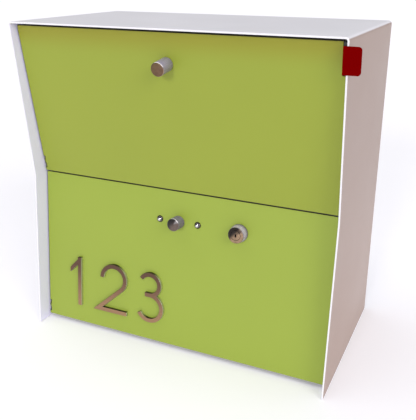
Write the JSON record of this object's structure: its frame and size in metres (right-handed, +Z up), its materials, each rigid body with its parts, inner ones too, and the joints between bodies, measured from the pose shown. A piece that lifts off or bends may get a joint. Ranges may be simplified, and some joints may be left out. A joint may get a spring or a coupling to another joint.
{
  "type": "wall mounted mailbox",
  "caption": "Square wall mailbox in folded sheet with a shallow V front, an upper pull-down mail hopper, a lower locking door, knobs, numerals and a small swing-out flag.",
  "frame": {"origin": "centre of the four wall holes, on the back face that lies against the wall", "axes": "+X to the mailbox's left-to-right as seen from the front, +Y into the wall, +Z up; the doors face -Y"},
  "size_m": [0.419, 0.235, 0.4064],
  "materials": {
    "white_coat": "satin white powder coat",
    "inner_coat": "satin dark grey powder coat",
    "green_coat": "satin lime green powder coat",
    "red_coat": "satin red powder coat",
    "zinc_steel": "zinc plated",
    "brushed_steel": "turned and brushed",
    "numeral_steel": "brushed face, plain sides",
    "bright_chrome": "polished",
    "black_rubber": "matt",
    "black_plastic": "matt",
    "dark_magnet": "sintered magnet",
    "nylon": "black nylon"
  },
  "bodies": {
    "housing": {"outer_shell": "white_coat", "back_panel": "white_coat", "floor_panel": "white_coat", "side_studs": "zinc_steel", "side_nuts": "zinc_steel", "centre_rail": "inner_coat", "rail_bumpers": "black_rubber", "rail_catch_case": "black_plastic", "rail_catch_magnet": "dark_magnet", "header": "inner_coat", "header_studs": "zinc_steel", "header_nuts": "zinc_steel", "header_bumpers": "black_rubber", "header_catch_cases": "black_plastic", "header_catch_magnets": "dark_magnet", "upper_pivot_studs": "zinc_steel", "upper_pivot_spacers": "nylon", "upper_pivot_clips": "zinc_steel", "upper_stop_studs": "zinc_steel", "lower_pivot_studs": "zinc_steel", "lower_pivot_spacers": "nylon", "lower_pivot_clips": "zinc_steel", "lower_stop_studs": "zinc_steel", "flag_block": "black_plastic", "flag_pin": "zinc_steel"},
    "upper_door": {"upper_panel": "green_coat", "upper_knob": "brushed_steel", "upper_knob_washer": "zinc_steel", "upper_knob_screw": "zinc_steel", "hopper_tray": "inner_coat", "tray_cheeks": "inner_coat", "tray_studs": "zinc_steel", "tray_nuts": "zinc_steel"},
    "lower_door": {"lower_panel": "green_coat", "lower_knob": "brushed_steel", "lower_knob_screw": "zinc_steel", "keeper_plate": "zinc_steel", "dome_screws": "bright_chrome", "dome_nuts": "zinc_steel", "lock_barrel": "bright_chrome", "lock_nut": "zinc_steel", "numeral_first": "numeral_steel", "numeral_second": "numeral_steel", "numeral_third": "numeral_steel", "numeral_nuts": "zinc_steel"},
    "lock_plug": {"lock_plug": "bright_chrome", "lock_cam": "zinc_steel", "cam_screw": "zinc_steel"},
    "flag": {"flag": "red_coat"}
  },
  "joints": [
    {"name": "upper_door_hinge", "type": "hinge", "parent": "housing", "child": "upper_door", "pos_m": [0, -0.18365, 0.02251], "axis": [1, 0, 0], "range_deg": [0, 55]},
    {"name": "lower_door_hinge", "type": "hinge", "parent": "housing", "child": "lower_door", "pos_m": [0, -0.20024, -0.18644], "axis": [1, 0, 0], "range_deg": [0, 95]},
    {"name": "lock_turn", "type": "hinge", "parent": "lower_door", "child": "lock_plug", "pos_m": [0.081, -0.19109, -0.03105], "axis": [0, -0.9946, 0.1037], "range_deg": [0, 90]},
    {"name": "flag_turn", "type": "hinge", "parent": "housing", "child": "flag", "pos_m": [0.1994, -0.22449, 0.18132], "axis": [0, 0.0999, -0.995], "range_deg": [0, 90]}
  ]
}
